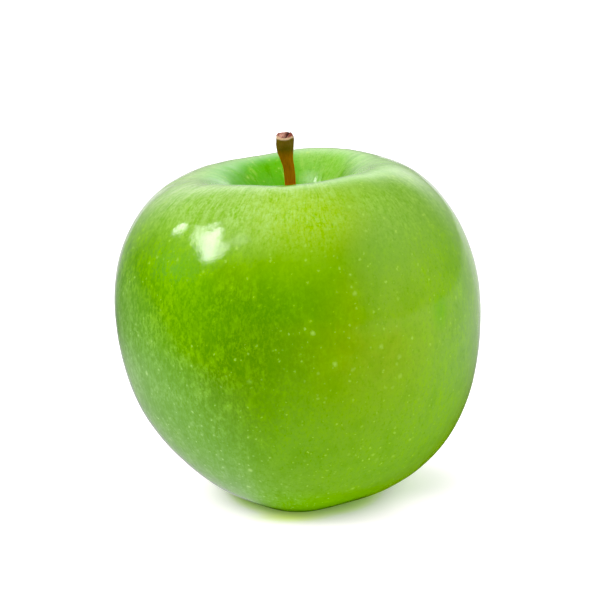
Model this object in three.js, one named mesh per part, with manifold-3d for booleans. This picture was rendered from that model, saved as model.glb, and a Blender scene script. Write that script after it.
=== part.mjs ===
// A ripe green apple with its short stalk, standing on its calyx end.
// Units are millimetres, +Z up, +X to the right and +Y away from the viewer.
// The origin is under the middle of the fruit, in the plane of the five small
// pads on which the base rests.
//
// The skin is one closed surface of revolution that has been pushed out of
// round. A uniform cubic B-spline runs over twenty control rings, from the
// middle of the calyx basin underneath, out around the base, up the flank, over
// the shoulder and down into the stalk cavity. Low harmonics around the axis
// tilt the shoulder, move its crest in and out, and raise the five base lobes.

import * as THREE from 'three';
import { mergeVertices } from 'three/addons/utils/BufferGeometryUtils.js';
import Module from 'manifold-3d';

const wasm = await Module();
wasm.setup();

// ---------------------------------------------------------------- fruit size
const FRUIT_SEGMENTS = 48;          // steps around the axis
const FRUIT_STEPS = 46;             // steps from calyx floor to cavity floor
const FRUIT_SHIFT = [-0.13, 0.07];  // brings the middle of its outline to the origin
const REST_DEPTH = 0.63;            // how far the ring heights below are lowered

// control rings: radius, height, and how far the ring leans towards +X
const RINGS = [
  [0.00, 9.16, 0.00],
  [3.20, 8.60, 0.27],
  [6.40, 5.67, 0.57],
  [9.60, 1.81, 0.91],
  [14.11, -0.35, 1.32],             // the ring that carries the resting pads
  [18.84, 1.43, 1.82],
  [24.70, 5.37, 2.34],
  [31.18, 11.54, 2.10],
  [36.96, 20.84, 1.28],
  [39.85, 31.91, 0.54],
  [40.88, 42.77, 0.11],             // widest
  [39.74, 52.93, -0.26],
  [35.93, 62.52, -0.54],
  [29.75, 70.04, -0.70],
  [22.10, 74.06, -0.72],            // crest of the shoulder
  [15.05, 72.66, -0.67],
  [10.05, 67.33, -0.54],
  [6.36, 61.09, -0.38],
  [3.20, 57.03, -0.19],
  [0.00, 55.59, 0.00],
];

// harmonics around the axis: [order, cosine, sine], in millimetres
const CREST_HEIGHT = [[1, 1.61, -0.34], [2, -0.46, 0.00], [3, -0.01, -0.03], [4, -0.03, -0.17], [5, 0.12, 0.09]];
const CREST_REACH = [[1, -0.59, -0.38], [2, -0.15, 0.70], [3, -0.04, -0.16], [5, 0.05, -0.12]];
const BASE_WAVE = [[1, 0.08, 0.19], [2, 0.46, -0.15], [3, -0.05, -0.12]];
const LOBE_AXIS = 1.5 * Math.PI;    // one of the five base lobes faces -Y
const LOBE_LIFT = 0.31;             // half the height of the valleys between the pads
const LOBE_SWELL = 0.12;            // how far the ribs above the lobes stand out
const OVAL = 0.006;                 // share of the radius by which the plan is oval
const OVAL_AXIS = (70 * Math.PI) / 180;

// how much of each of those acts on each ring
const W_CREST_HEIGHT = [0, 0, 0, 0, 0, 0, 0, 0, 0, 0, 0.05, 0.2, 0.5, 0.85, 1, 0.85, 0.5, 0.2, 0, 0];
const W_CREST_REACH = [0, 0, 0, 0, 0, 0, 0, 0, 0, 0, 0, 0.05, 0.25, 0.7, 1, 0.9, 0.55, 0.2, 0.05, 0];
const W_LOBE_LIFT = [0, 0, 0.1, 0.5, 1, 0.8, 0.35, 0.1, 0, 0, 0, 0, 0, 0, 0, 0, 0, 0, 0, 0];
const W_LOBE_SWELL = [0, 0, 0.2, 0.5, 1, 1.4, 1.4, 1.2, 1, 0.7, 0.5, 0.6, 0.8, 0.6, 0.2, 0, 0, 0, 0, 0];
const W_BASE_WAVE = [0, 0, 0, 0, 0, 1, 1, 0.6, 0.2, 0, 0, 0, 0, 0, 0, 0, 0, 0, 0, 0];

// ---------------------------------------------------------------- stalk size
// height, offset along X, offset along Y, radius; the first rows are inside the socket
const STALK = [
  [50.3, -0.10, 0.00, 1.45],
  [52.5, -0.18, 0.00, 1.50],
  [55.5, -0.36, 0.00, 1.50],
  [58.5, -0.62, -0.02, 1.36],
  [62.0, -0.90, -0.05, 1.24],
  [65.6, -1.20, -0.06, 1.17],
  [69.2, -1.58, -0.04, 1.15],
  [71.4, -1.78, 0.00, 1.18],
  [73.4, -2.07, 0.04, 1.23],
  [74.9, -2.43, 0.07, 1.38],
  [76.4, -2.72, 0.09, 1.66],
  [78.2, -2.82, 0.10, 1.84],
  [79.8, -2.83, 0.10, 1.87],
  [80.5, -2.83, 0.10, 1.58],
];
const STALK_SEGMENTS = 16;
const STALK_TIP_NOTCH = 0.7;        // depth of the split across the broken end
const STALK_TIP_NOTCH_SHIFT = 0.25; // the split runs a little to the right of the middle
const STALK_TIP_LEAN = 0.3;         // rise of the broken end from front to back
const STALK_TIP_LEAN_FROM = 77.5;   // height at which the knob starts to lean
const SOCKET_RADIUS = 1.95;         // hole in the cavity floor where the stalk enters
const SOCKET_FLOOR = 49.9;
const SOCKET_TOP = 60.0;            // above the cavity floor, so that the cut is open

// ---------------------------------------------------------------- calyx size
const SEPAL_COUNT = 5;
// along each dried sepal, root to tip: distance from the axis, height, half width, half thickness
const SEPAL = [
  [3.00, 6.90, 1.32, 0.36],
  [2.95, 6.05, 1.50, 0.34],
  [3.00, 5.15, 1.54, 0.30],
  [3.30, 4.25, 1.42, 0.27],
  [3.90, 3.50, 1.16, 0.24],
  [4.75, 3.00, 0.84, 0.21],
  [5.65, 2.85, 0.45, 0.18],
];
// how each of the five differs: turn about the axis in degrees, length, and outward flare
const SEPAL_TURN = [2, -2, 1, 3, -2];
const SEPAL_LENGTH = [1.0, 0.9, 1.04, 0.94, 0.98];
const SEPAL_FLARE = [0.9, 0.6, 1.05, 0.75, 1.0];
const SEPAL_CUP = 0.22;             // how far the edges bend in towards the axis
// the withered stamens in the middle: distance from the axis, height, top to bottom
const STAMENS = [
  [0.90, 7.45],
  [1.12, 6.90],
  [1.28, 5.90],
  [1.55, 4.95],
  [1.15, 4.25],
];

// ---------------------------------------------------------------- geometry
function harmonics(list, theta) {
  let sum = 0;
  for (const [k, c, s] of list) sum += c * Math.cos(k * theta) + s * Math.sin(k * theta);
  return sum;
}

function weights(t) {
  return [
    (1 - 3 * t + 3 * t * t - t * t * t) / 6,
    (4 - 6 * t * t + 3 * t * t * t) / 6,
    (1 + 3 * t + 3 * t * t - 3 * t * t * t) / 6,
    (t * t * t) / 6,
  ];
}

// the skin at angle theta, s running from 0 at the calyx to 1 at the stalk cavity
function skinPoint(theta, s) {
  const last = RINGS.length - 1;
  const u = Math.min(s * last, last);
  const span = Math.min(Math.floor(u), last - 1);
  const w = weights(u - span);
  const lobe = Math.cos(5 * (theta - LOBE_AXIS));
  const height = harmonics(CREST_HEIGHT, theta);
  const reach = harmonics(CREST_REACH, theta);
  const wave = harmonics(BASE_WAVE, theta);
  let r = 0;
  let z = 0;
  for (let k = 0; k < 4; k++) {
    let i = span - 1 + k;
    let side = 1;
    if (i < 0) { i = 1; side = -1; }
    if (i > last) { i = last - 1; side = -1; }
    const [radius, level, lean] = RINGS[i];
    const ringR = radius + lean * Math.cos(theta) + W_CREST_REACH[i] * reach
      + radius * OVAL * Math.cos(2 * (theta - OVAL_AXIS)) * (1 - W_CREST_REACH[i])
      + LOBE_SWELL * W_LOBE_SWELL[i] * lobe;
    const ringZ = level + W_CREST_HEIGHT[i] * height
      + W_LOBE_LIFT[i] * LOBE_LIFT * (1 - lobe) + W_BASE_WAVE[i] * wave;
    r += w[k] * side * ringR;
    z += w[k] * ringZ;
  }
  z = Math.max(0, z - REST_DEPTH);
  if (s <= 0 || s >= 1) r = 0;
  return new THREE.Vector3(
    FRUIT_SHIFT[0] + r * Math.cos(theta), FRUIT_SHIFT[1] + r * Math.sin(theta), z);
}

// a lathed solid whose grid of vertices is then placed by place(angle, index along the profile)
function lathedSolid(rows, segments, place) {
  const profile = [];
  for (let j = 0; j < rows; j++) {
    const a = (Math.PI * j) / (rows - 1);
    profile.push(new THREE.Vector2(j === 0 || j === rows - 1 ? 0 : Math.sin(a), -Math.cos(a)));
  }
  const geometry = new THREE.LatheGeometry(profile, segments);
  const position = geometry.getAttribute('position');
  for (let i = 0; i <= segments; i++) {
    const theta = (2 * Math.PI * (i % segments)) / segments;
    for (let j = 0; j < rows; j++) {
      const p = place(theta, j);
      position.setXYZ(i * rows + j, p.x, p.y, p.z);
    }
  }
  return closed(geometry);
}

// keep positions only, join the shared vertices and drop the faces that have shrunk to a line
function closed(source) {
  source.deleteAttribute('normal');
  source.deleteAttribute('uv');
  const geometry = mergeVertices(source, 1e-5);
  const index = geometry.getIndex().array;
  const kept = [];
  for (let i = 0; i < index.length; i += 3) {
    const [a, b, c] = [index[i], index[i + 1], index[i + 2]];
    if (a !== b && b !== c && c !== a) kept.push(a, b, c);
  }
  geometry.setIndex(kept);
  geometry.clearGroups();
  return geometry;
}

function toSolid(geometry) {
  const position = geometry.getAttribute('position');
  return new wasm.Manifold(new wasm.Mesh({
    numProp: 3,
    vertProperties: new Float32Array(position.array),
    triVerts: new Uint32Array(geometry.getIndex().array),
  }));
}

function toGeometry(solid) {
  const mesh = solid.getMesh();
  const geometry = new THREE.BufferGeometry();
  const count = mesh.vertProperties.length / mesh.numProp;
  const position = new Float32Array(count * 3);
  for (let i = 0; i < count; i++) {
    for (let k = 0; k < 3; k++) position[i * 3 + k] = mesh.vertProperties[i * mesh.numProp + k];
  }
  geometry.setAttribute('position', new THREE.BufferAttribute(position, 3));
  geometry.setIndex(new THREE.BufferAttribute(new Uint32Array(mesh.triVerts), 1));
  return geometry;
}

function makeFruit() {
  const skin = lathedSolid(FRUIT_STEPS + 1, FRUIT_SEGMENTS,
    (theta, j) => skinPoint(theta, j / FRUIT_STEPS));
  const socket = new THREE.CylinderGeometry(SOCKET_RADIUS, SOCKET_RADIUS, SOCKET_TOP - SOCKET_FLOOR, 20);
  socket.rotateX(Math.PI / 2);
  socket.translate(STALK[1][1], STALK[1][2], (SOCKET_TOP + SOCKET_FLOOR) / 2);
  return toGeometry(toSolid(skin).subtract(toSolid(closed(socket))));
}

function makeStalk() {
  const rows = STALK.length + 3;
  const first = STALK[0];
  const last = STALK[STALK.length - 1];
  return lathedSolid(rows, STALK_SEGMENTS, (theta, j) => {
    if (j === 0) return new THREE.Vector3(first[1], first[2], first[0]);
    const tip = j - STALK.length;
    let [z, x, y, r] = tip <= 0 ? STALK[j - 1] : last;
    if (tip === 1) { r *= 0.55; z += 0.32; }
    if (tip === 2) { r = 0; z += 0.1; }
    // the knob at the end is a little flattened and the shaft is not quite round
    const stretch = 1 + 0.06 * Math.cos(2 * theta - 0.6) + 0.03 * Math.cos(3 * theta + 1.0);
    const px = x + r * stretch * Math.cos(theta);
    const py = y + r * stretch * Math.sin(theta);
    z += STALK_TIP_LEAN * (py - y) * Math.min(1, Math.max(0, (z - STALK_TIP_LEAN_FROM) / 2));
    if (tip >= 0) {
      const off = (px - x - STALK_TIP_NOTCH_SHIFT) / 0.55;
      z -= STALK_TIP_NOTCH * Math.exp(-(off ** 2)) * (tip === 2 ? 1 : 0.8);
    }
    return new THREE.Vector3(px, py, z);
  });
}

function makeSepal(which) {
  const steps = SEPAL.length - 1;
  const box = new THREE.BoxGeometry(2, 2, 1, 4, 1, steps);
  const position = box.getAttribute('position');
  const turn = ((SEPAL_TURN[which] + 36 + (360 * which) / SEPAL_COUNT) * Math.PI) / 180 + LOBE_AXIS;
  const out = new THREE.Vector3(Math.cos(turn), Math.sin(turn), 0);
  const side = new THREE.Vector3(-Math.sin(turn), Math.cos(turn), 0);
  for (let i = 0; i < position.count; i++) {
    const across = position.getX(i);
    const face = position.getY(i);
    const j = Math.round((position.getZ(i) + 0.5) * steps);
    const [r0, z0, halfWidth, halfThickness] = SEPAL[j];
    const before = SEPAL[Math.max(0, j - 1)];
    const after = SEPAL[Math.min(steps, j + 1)];
    const root = SEPAL[0];
    const flare = SEPAL_FLARE[which];
    const length = SEPAL_LENGTH[which];
    const r = root[0] + (r0 - root[0]) * flare;
    const z = root[1] + (z0 - root[1]) * length;
    const dr = (after[0] - before[0]) * flare;
    const dz = (after[1] - before[1]) * length;
    const norm = Math.hypot(dr, dz);
    // the face normal lies in the plane through the axis, at right angles to the run of the sepal
    const nr = -dz / norm;
    const nz = dr / norm;
    const bend = -SEPAL_CUP * across * across * halfWidth;
    const thick = halfThickness * face * (1 - 0.45 * across * across);
    const radial = r + nr * (thick + bend);
    const p = out.clone().multiplyScalar(radial).addScaledVector(side, across * halfWidth);
    position.setXYZ(i, FRUIT_SHIFT[0] + p.x, FRUIT_SHIFT[1] + p.y, z + nz * (thick + bend));
  }
  return closed(box);
}

function makeStamens() {
  const rows = STAMENS.length + 2;
  return lathedSolid(rows, 10, (theta, j) => {
    // the profile runs upwards, so the table is read from its lower end
    const k = STAMENS.length - j;
    if (j === 0) return new THREE.Vector3(FRUIT_SHIFT[0], FRUIT_SHIFT[1], STAMENS[STAMENS.length - 1][1] - 0.15);
    if (j === rows - 1) return new THREE.Vector3(FRUIT_SHIFT[0], FRUIT_SHIFT[1], STAMENS[0][1] + 0.05);
    const [r, z] = STAMENS[k];
    const ribbed = r * (1 + 0.08 * Math.cos(5 * theta));
    return new THREE.Vector3(
      FRUIT_SHIFT[0] + ribbed * Math.cos(theta), FRUIT_SHIFT[1] + ribbed * Math.sin(theta), z);
  });
}

// ---------------------------------------------------------------- assembly
const skinMaterial = new THREE.MeshStandardMaterial({ color: 0x6faa12, roughness: 0.32, metalness: 0 });
const stalkMaterial = new THREE.MeshStandardMaterial({ color: 0x7a5a1c, roughness: 0.8, metalness: 0 });
const sepalMaterial = new THREE.MeshStandardMaterial({ color: 0x6a5638, roughness: 0.9, metalness: 0 });
const stamenMaterial = new THREE.MeshStandardMaterial({ color: 0x3f2c1a, roughness: 0.9, metalness: 0 });

function named(name, geometry, material) {
  geometry.computeVertexNormals();
  const mesh = new THREE.Mesh(geometry, material);
  mesh.name = name;
  return mesh;
}

const apple = new THREE.Group();
apple.add(named('fruit', makeFruit(), skinMaterial));
apple.add(named('stalk', makeStalk(), stalkMaterial));
const calyx = new THREE.Group();
for (let i = 0; i < SEPAL_COUNT; i++) {
  calyx.add(named(`sepal_${i + 1}`, makeSepal(i), sepalMaterial.clone()));
}
calyx.add(named('stamens', makeStamens(), stamenMaterial));
apple.add(calyx);

export default apple;
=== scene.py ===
import math

import bpy
import numpy as np
from mathutils import Matrix, Vector


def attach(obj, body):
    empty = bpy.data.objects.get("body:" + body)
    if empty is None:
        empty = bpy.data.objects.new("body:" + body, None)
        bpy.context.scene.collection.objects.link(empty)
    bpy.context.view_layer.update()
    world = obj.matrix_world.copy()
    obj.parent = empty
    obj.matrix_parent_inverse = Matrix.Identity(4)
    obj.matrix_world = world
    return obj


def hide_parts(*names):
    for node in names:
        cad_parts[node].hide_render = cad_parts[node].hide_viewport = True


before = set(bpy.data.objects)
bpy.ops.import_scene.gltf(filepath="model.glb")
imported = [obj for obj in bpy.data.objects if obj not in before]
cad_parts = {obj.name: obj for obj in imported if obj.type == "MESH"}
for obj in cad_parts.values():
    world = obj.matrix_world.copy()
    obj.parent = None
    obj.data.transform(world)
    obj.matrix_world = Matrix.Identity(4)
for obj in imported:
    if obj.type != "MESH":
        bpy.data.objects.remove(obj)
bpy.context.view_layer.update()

MM = 0.001

# ----------------------------------------------------------------------------
# the skin: the same control rings as the solid model, in millimetres
# ----------------------------------------------------------------------------
SHIFT = np.array([-0.13, 0.07])
REST_DEPTH = 0.63
RINGS = np.array([
    [0.00, 9.16, 0.00], [3.20, 8.60, 0.27], [6.40, 5.67, 0.57], [9.60, 1.81, 0.91],
    [14.11, -0.35, 1.32], [18.84, 1.43, 1.82], [24.70, 5.37, 2.34], [31.18, 11.54, 2.10],
    [36.96, 20.84, 1.28], [39.85, 31.91, 0.54], [40.88, 42.77, 0.11], [39.74, 52.93, -0.26],
    [35.93, 62.52, -0.54], [29.75, 70.04, -0.70], [22.10, 74.06, -0.72], [15.05, 72.66, -0.67],
    [10.05, 67.33, -0.54], [6.36, 61.09, -0.38], [3.20, 57.03, -0.19], [0.00, 55.59, 0.00],
])
CREST_HEIGHT = [(1, 1.61, -0.34), (2, -0.46, 0.00), (3, -0.01, -0.03), (4, -0.03, -0.17), (5, 0.12, 0.09)]
CREST_REACH = [(1, -0.59, -0.38), (2, -0.15, 0.70), (3, -0.04, -0.16), (5, 0.05, -0.12)]
BASE_WAVE = [(1, 0.08, 0.19), (2, 0.46, -0.15), (3, -0.05, -0.12)]
LOBE_AXIS = 1.5 * math.pi
LOBE_LIFT, LOBE_SWELL = 0.31, 0.12
OVAL, OVAL_AXIS = 0.006, math.radians(70)
W_CREST_HEIGHT = np.array([0, 0, 0, 0, 0, 0, 0, 0, 0, 0, 0.05, 0.2, 0.5, 0.85, 1, 0.85, 0.5, 0.2, 0, 0])
W_CREST_REACH = np.array([0, 0, 0, 0, 0, 0, 0, 0, 0, 0, 0, 0.05, 0.25, 0.7, 1, 0.9, 0.55, 0.2, 0.05, 0])
W_LOBE_LIFT = np.array([0, 0, 0.1, 0.5, 1, 0.8, 0.35, 0.1, 0, 0, 0, 0, 0, 0, 0, 0, 0, 0, 0, 0])
W_LOBE_SWELL = np.array([0, 0, 0.2, 0.5, 1, 1.4, 1.4, 1.2, 1, 0.7, 0.5, 0.6, 0.8, 0.6, 0.2, 0, 0, 0, 0, 0])
W_BASE_WAVE = np.array([0, 0, 0, 0, 0, 1, 1, 0.6, 0.2, 0, 0, 0, 0, 0, 0, 0, 0, 0, 0, 0])


def harmonics(table, theta):
    return sum(c * np.cos(k * theta) + s * np.sin(k * theta) for k, c, s in table)


def spline_rows(u):
    """Weights of the control rings at the stations u, for radii and for heights."""
    last = len(RINGS) - 1
    span = np.minimum(np.floor(u).astype(int), last - 1)
    t = u - span
    w = np.stack([(1 - t) ** 3, 4 - 6 * t ** 2 + 3 * t ** 3, 1 + 3 * t + 3 * t ** 2 - 3 * t ** 3, t ** 3], 1) / 6
    wr = np.zeros((len(u), last + 1))
    wz = np.zeros((len(u), last + 1))
    for k in range(4):
        i = span - 1 + k
        side = np.where((i < 0) | (i > last), -1.0, 1.0)
        i = np.where(i < 0, 1, np.where(i > last, last - 1, i))
        np.add.at(wr, (np.arange(len(u)), i), w[:, k] * side)
        np.add.at(wz, (np.arange(len(u)), i), w[:, k])
    return wr, wz


def skin_grid(theta, u):
    """Points (angle, station, xyz) on the skin, in millimetres, before any fine relief."""
    th = theta[:, None]
    lobe = np.cos(5 * (th - LOBE_AXIS))
    ring_r = (RINGS[None, :, 0] + RINGS[None, :, 2] * np.cos(th) + W_CREST_REACH * harmonics(CREST_REACH, th)
              + RINGS[None, :, 0] * OVAL * np.cos(2 * (th - OVAL_AXIS)) * (1 - W_CREST_REACH)
              + LOBE_SWELL * W_LOBE_SWELL * lobe)
    ring_z = (RINGS[None, :, 1] + W_CREST_HEIGHT * harmonics(CREST_HEIGHT, th)
              + W_LOBE_LIFT * LOBE_LIFT * (1 - lobe) + W_BASE_WAVE * harmonics(BASE_WAVE, th))
    wr, wz = spline_rows(u)
    r = ring_r @ wr.T
    z = ring_z @ wz.T - REST_DEPTH
    r[:, u <= 0] = 0
    r[:, u >= len(RINGS) - 1] = 0
    return np.stack([SHIFT[0] + r * np.cos(th), SHIFT[1] + r * np.sin(th), z], 2), r


# ----------------------------------------------------------------------------
# helpers
# ----------------------------------------------------------------------------
def hashed(i, j, k, seed):
    h = (i * 374761393 + j * 668265263 + k * 2147483647 + seed * 1274126177) & 0xFFFFFFFF
    h = ((h ^ (h >> 13)) * 1103515245) & 0xFFFFFFFF
    h = ((h ^ (h >> 16)) * 2246822519) & 0xFFFFFFFF
    return ((h ^ (h >> 15)) & 0xFFFFFF) / float(0xFFFFFF) * 2 - 1


def noise3(p, seed):
    """Smooth value noise in -1..1 on the points p (..., 3)."""
    f = np.floor(p).astype(np.int64)
    t = p - f
    t = t * t * t * (t * (t * 6 - 15) + 10)
    total = 0
    for dx in (0, 1):
        for dy in (0, 1):
            for dz in (0, 1):
                w = (np.where(dx, t[..., 0], 1 - t[..., 0]) * np.where(dy, t[..., 1], 1 - t[..., 1])
                     * np.where(dz, t[..., 2], 1 - t[..., 2]))
                total = total + w * hashed(f[..., 0] + dx, f[..., 1] + dy, f[..., 2] + dz, seed)
    return total


def smoothstep(a, b, x):
    t = np.clip((x - a) / (b - a), 0, 1)
    return t * t * (3 - 2 * t)


def grid_normals(p):
    """Outward unit normals of a closed grid (angle, station, xyz)."""
    dt = np.roll(p, -1, 0) - np.roll(p, 1, 0)
    ds = np.empty_like(p)
    ds[:, 1:-1] = p[:, 2:] - p[:, :-2]
    ds[:, 0] = p[:, 1] - p[:, 0]
    ds[:, -1] = p[:, -1] - p[:, -2]
    n = np.cross(dt, ds)
    length = np.linalg.norm(n, axis=2, keepdims=True)
    n = n / np.maximum(length, 1e-12)
    for end in (0, -1):
        inner = 1 if end == 0 else -2
        m = n[:, inner].mean(0)
        n[:, end] = m / max(np.linalg.norm(m), 1e-12)
    return n


def lathe_object(name, p, material):
    """A closed mesh from a grid (angle, station, xyz) in millimetres whose two ends are single points."""
    nt, ns = p.shape[:2]
    inner = p[:, 1:-1].reshape(-1, 3)
    verts = np.concatenate([inner, p[:, 0].mean(0)[None], p[:, -1].mean(0)[None]])
    low, high = len(inner), len(inner) + 1
    m = ns - 2
    i = np.arange(nt)
    j = np.arange(m - 1)
    a = (i[:, None] * m + j[None]).ravel()
    b = (((i + 1) % nt)[:, None] * m + j[None]).ravel()
    quads = np.stack([a, b, b + 1, a + 1], 1)
    first = np.stack([i * m, np.full(nt, low), ((i + 1) % nt) * m], 1)
    last = np.stack([i * m + m - 1, ((i + 1) % nt) * m + m - 1, np.full(nt, high)], 1)
    mesh = bpy.data.meshes.new(name)
    mesh.from_pydata((verts * MM).tolist(), [], quads.tolist() + first.tolist() + last.tolist())
    mesh.validate()
    mesh.update()
    mesh.polygons.foreach_set("use_smooth", [True] * len(mesh.polygons))
    mesh.materials.append(material)
    o = bpy.data.objects.new(name, mesh)
    bpy.context.scene.collection.objects.link(o)
    return o


class Nodes:
    """Short hand for building a node tree."""

    def __init__(self, material):
        material.use_nodes = True
        self.tree = material.node_tree
        self.tree.nodes.clear()

    def add(self, kind, inputs=None, **attributes):
        n = self.tree.nodes.new(kind)
        for k, v in attributes.items():
            setattr(n, k, v)
        for k, v in (inputs or {}).items():
            self.put(n.inputs[k], v)
        return n

    def put(self, socket, value):
        if isinstance(value, bpy.types.NodeSocket):
            self.tree.links.new(value, socket)
        else:
            socket.default_value = value

    def math(self, op, a, b=None, c=None, clamp=False):
        n = self.add("ShaderNodeMath", operation=op, use_clamp=clamp)
        for i, v in enumerate((a, b, c)):
            if v is not None:
                self.put(n.inputs[i], v)
        return n.outputs[0]

    def vec(self, op, a, b=None, scale=None):
        n = self.add("ShaderNodeVectorMath", operation=op)
        self.put(n.inputs[0], a)
        if b is not None:
            self.put(n.inputs[1], b)
        if scale is not None:
            self.put(n.inputs["Scale"], scale)
        return n.outputs["Value"] if op in ("LENGTH", "DISTANCE", "DOT_PRODUCT") else n.outputs["Vector"]

    def ramp(self, value, lo, hi, to_lo=0.0, to_hi=1.0, smooth=True):
        n = self.add("ShaderNodeMapRange", interpolation_type="SMOOTHSTEP" if smooth else "LINEAR")
        for i, v in enumerate((value, lo, hi, to_lo, to_hi)):
            self.put(n.inputs[i], v)
        return n.outputs[0]

    def mix(self, factor, a, b, blend="MIX"):
        n = self.add("ShaderNodeMix", data_type="RGBA", blend_type=blend)
        self.put(n.inputs[0], factor)
        for s, v in ((n.inputs[6], a), (n.inputs[7], b)):
            self.put(s, v if isinstance(v, bpy.types.NodeSocket) else (*v, 1.0))
        return n.outputs[2]

    def noise(self, vector, scale, detail=2.0, rough=0.5, distortion=0.0):
        n = self.add("ShaderNodeTexNoise", {"Vector": vector, "Scale": scale, "Detail": detail,
                                            "Roughness": rough, "Distortion": distortion})
        return n.outputs["Fac"]

    def blob(self, vector, centre, size, lo=0.0, hi=1.0):
        """1 at the centre, 0 beyond the ellipsoid of that half size."""
        d = self.vec("SUBTRACT", vector, tuple(centre))
        d = self.vec("MULTIPLY", d, tuple(1.0 / s for s in size))
        return self.ramp(self.vec("LENGTH", d), 0.0, 1.0, hi, lo)


def new_material(name):
    m = bpy.data.materials.new(name)
    return m, Nodes(m)


# ----------------------------------------------------------------------------
# materials
# ----------------------------------------------------------------------------
def radial_dark(n, around, lower):
    return n.noise(n.vec("ADD", n.vec("SCALE", around, scale=6.0), n.vec("ADD", n.vec("SCALE", lower, scale=0.16), (7.0, 3.0, 5.0))), 1.0, 3.0, 0.6)


def skin_material():
    m, n = new_material("apple_skin")
    out = n.add("ShaderNodeOutputMaterial")
    bsdf = n.add("ShaderNodeBsdfPrincipled")
    n.tree.links.new(bsdf.outputs[0], out.inputs[0])
    coord = n.add("ShaderNodeTexCoord").outputs["Object"]
    mm = n.vec("SCALE", coord, scale=1000.0)                     # the surface point in millimetres
    split = n.add("ShaderNodeSeparateXYZ", {0: mm})
    x, y, z = split.outputs
    flat = n.vec("MULTIPLY", mm, (1.0, 1.0, 0.0))
    rho = n.vec("LENGTH", flat)                                  # distance from the core
    around = n.vec("NORMALIZE", flat)                            # direction around the core
    lower = n.vec("MULTIPLY", mm, (0.0, 0.0, 1.0))
    # streaks that run from stalk to calyx: fine around the core, longer down the flank
    streak_at = n.vec("ADD", n.vec("SCALE", around, scale=26.0), n.vec("SCALE", lower, scale=0.30))
    streak_fine_at = n.vec("ADD", n.vec("SCALE", around, scale=62.0), n.vec("SCALE", lower, scale=0.85))

    broad = n.noise(mm, 0.055, 2.0)
    patch = n.noise(n.vec("MULTIPLY", mm, (1.0, 1.0, 0.55)), 0.16, 3.0, 0.55)
    streak = n.noise(streak_at, 1.0, 3.0, 0.6)
    streak_fine = n.noise(streak_fine_at, 1.0, 3.0, 0.65)
    grain = n.noise(mm, 2.0, 3.0, 0.65)
    speck = n.noise(n.vec("MULTIPLY", mm, (1.0, 1.0, 0.65)), 1.25, 4.0, 0.75)
    cloud = n.noise(n.vec("MULTIPLY", mm, (1.0, 1.0, 0.6)), 0.24, 3.0, 0.62)

    green = (0.138, 0.375, 0.014)
    deep = (0.115, 0.310, 0.010)
    yellow = n.mix(n.ramp(z, 43.0, 52.0), (0.232, 0.380, 0.028), (0.240, 0.400, 0.070))
    yellow = n.mix(n.ramp(x, 6.0, 18.0), (0.218, 0.346, 0.010), yellow)
    colour = n.mix(n.ramp(broad, 0.35, 0.65), deep, green)
    # the deepest green lies left of the middle
    heart = n.blob(mm, (-10.5, -38.0, 36.0), (32.0, 33.0, 37.0))
    colour = n.mix(n.math("MULTIPLY", heart, 0.9), colour, (0.080, 0.207, 0.0020))
    edge = n.ramp(x, -16.0, -36.0)
    colour = n.mix(n.math("MULTIPLY", edge, 0.85), colour, (0.092, 0.248, 0.026))
    flank = n.ramp(x, 12.0, 30.0)
    colour = n.mix(n.math("MULTIPLY", flank, 0.6), colour, (0.225, 0.410, 0.095))
    # painted light and painted sheen from the floor: paler and milkier towards the bottom
    low = n.ramp(z, 26.0, 8.0)
    colour = n.mix(n.math("MULTIPLY", low, 0.6), colour, (0.165, 0.370, 0.040))
    # sun side: a yellower cheek right of the middle, fading upwards over the shoulder
    cheek = n.blob(mm, (18.0, -37.0, 40.0), (26.0, 30.0, 42.0))
    brow = n.blob(mm, (4.0, -26.0, 68.0), (38.0, 26.0, 26.0), hi=0.75)
    foot = n.blob(mm, (6.0, -24.0, 6.0), (26.0, 26.0, 22.0), hi=0.5)
    blush = n.math("MAXIMUM", n.math("MAXIMUM", cheek, brow), foot)
    blush = n.math("MULTIPLY", blush, n.ramp(patch, 0.25, 0.75, 0.75, 1.1))
    colour = n.mix(n.math("MINIMUM", blush, 1.0), colour, yellow)
    # painted sheen: a thin milky paleness over the lower front, where the skin mirrors the floor
    painted_sheen_front = n.math("MULTIPLY", n.ramp(z, 45.0, 21.0), n.ramp(x, -18.0, 0.0))
    colour = n.mix(n.math("MULTIPLY", painted_sheen_front, 0.60), colour, (0.225, 0.425, 0.088))
    # clear green next to the floor, in front
    sole = n.math("MULTIPLY", n.ramp(z, 10.0, 3.0), n.ramp(x, -13.0, -1.0))
    colour = n.mix(n.math("MULTIPLY", sole, 0.75), colour, (0.150, 0.400, 0.004))
    # painted light and painted sheen: paler, slightly milky over the shoulder, where the top faces the light above
    shoulder = n.ramp(n.math("MULTIPLY_ADD", cloud, 9.0, z), 56.0, 80.0)
    shoulder = n.math("MULTIPLY", shoulder, n.ramp(x, 24.0, -1.0, 0.12, 1.0))
    shoulder = n.math("MULTIPLY", shoulder, n.ramp(y, 26.0, -4.0, 0.45, 1.0))
    # clearer again just under the front of the shoulder, with less of that painted light and sheen
    clear = n.blob(mm, (8.0, -31.0, 62.0), (20.0, 22.0, 13.0), lo=1.0, hi=0.35)
    shoulder = n.math("MULTIPLY", shoulder, clear)
    colour = n.mix(n.math("MULTIPLY", shoulder, 0.75), colour, (0.345, 0.575, 0.140))
    # and painted light: bright yellow-green in the middle of its front, where the light from above falls
    painted_top_light = n.blob(mm, (1.0, -28.0, 68.0), (18.0, 16.0, 11.0), hi=0.60)
    colour = n.mix(painted_top_light, colour, (0.400, 0.610, 0.045))
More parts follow.
